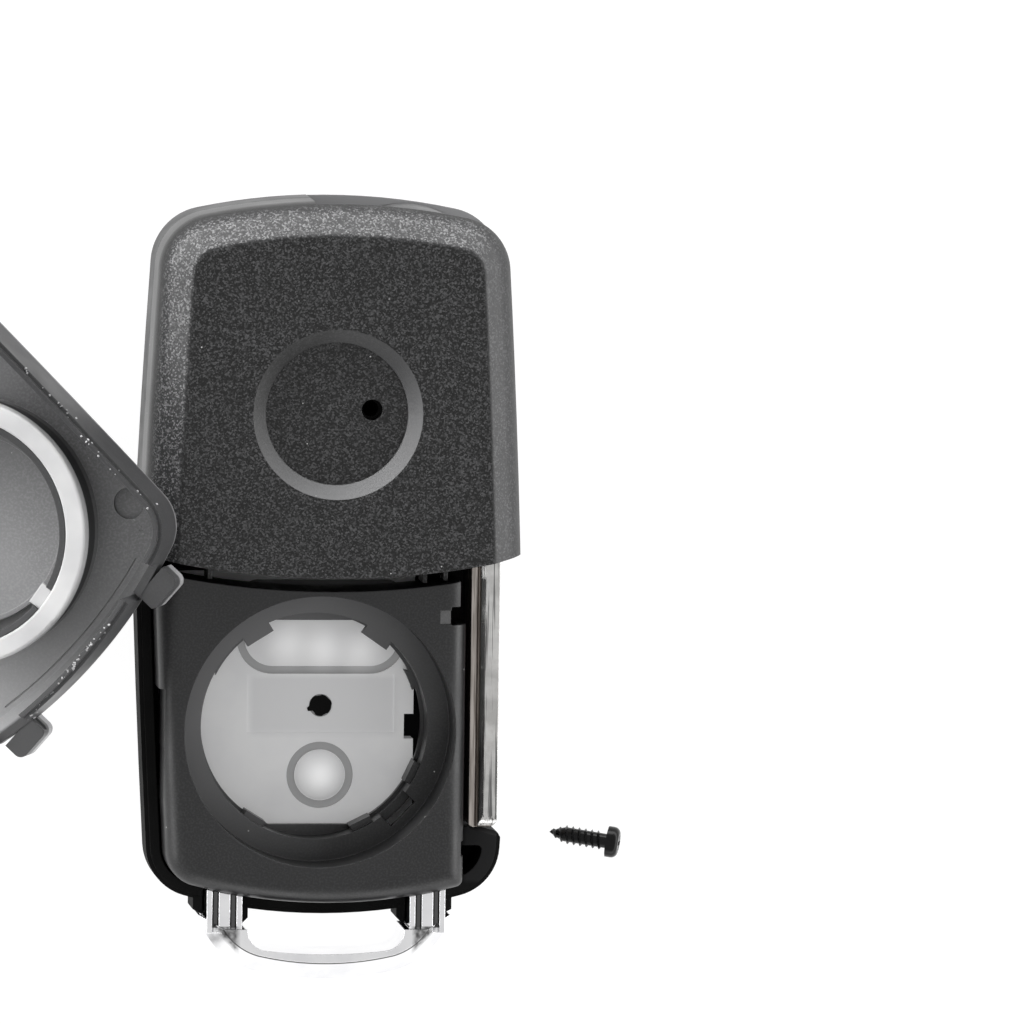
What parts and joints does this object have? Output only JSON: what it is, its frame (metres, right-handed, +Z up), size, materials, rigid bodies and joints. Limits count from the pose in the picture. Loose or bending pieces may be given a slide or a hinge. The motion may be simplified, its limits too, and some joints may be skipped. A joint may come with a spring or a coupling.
{
  "type": "flip key remote shell",
  "caption": "Folding car key shell: blade folded in its slot, empty battery bay open, battery cover and case screw laid beside it.",
  "frame": {"origin": "on the resting plane, under the middle of the case, beside the waist of its outline", "axes": "+Z up out of the rear face, +Y from the key ring loop to the head, +X to the right seen from the rear"},
  "size_m": [0.0834, 0.0747, 0.0229],
  "materials": {
    "shell_black": "fine spark-textured black ABS",
    "frame_black": "smooth black ABS, lightly scuffed",
    "silicone_clear": "milky translucent silicone",
    "carbon_black": "matte carbon-filled silicone",
    "loop_chrome": "bright chrome plate on cast zinc",
    "spring_steel": "bare spring steel",
    "seal_grey": "light grey silicone",
    "screw_black": "black oxide steel",
    "hub_grey": "glass-filled nylon, dark",
    "blade_steel": "nickel-plated steel, machined faces brushed",
    "button_silver": "metallised plastic",
    "button_black": "black ABS"
  },
  "bodies": {
    "case": {"front_shell": "shell_black", "head_rear_cover": "shell_black", "battery_frame": "frame_black", "keypad": "silicone_clear", "contact_pill": "carbon_black", "key_ring_loop": "loop_chrome", "release_bezel": "loop_chrome", "spring_washer": "spring_steel", "flip_spring": "spring_steel", "battery_cover": "frame_black", "cover_seal": "seal_grey", "case_screw": "screw_black"},
    "blade_group": {"blade_hub": "hub_grey", "blade": "blade_steel", "blade_pin": "spring_steel"},
    "release": {"release_button": "button_silver", "lock_cross": "hub_grey"},
    "upper_key": {"upper_button": "button_black"},
    "middle_key": {"middle_button": "button_black"},
    "lower_key": {"lower_button": "button_black"}
  },
  "joints": [
    {"name": "blade_turn", "type": "hinge", "parent": "case", "child": "blade_group", "pos_m": [0.00737, 0.0277, 0.008], "axis": [0, 0, 1], "range_deg": [0, 180], "deforming": ["flip_spring"]},
    {"name": "release_press", "type": "slide", "parent": "blade_group", "child": "release", "axis": [0, 0, 1], "range_m": [0, 0.001], "stiffness_N_per_m": 600},
    {"name": "upper_press", "type": "slide", "parent": "case", "child": "upper_key", "axis": [0, 0, 1], "range_m": [0, 0.0006], "stiffness_N_per_m": 800},
    {"name": "middle_press", "type": "slide", "parent": "case", "child": "middle_key", "axis": [0, 0, 1], "range_m": [0, 0.0006], "stiffness_N_per_m": 800},
    {"name": "lower_press", "type": "slide", "parent": "case", "child": "lower_key", "axis": [0, 0, 1], "range_m": [0, 0.0006], "stiffness_N_per_m": 800}
  ]
}
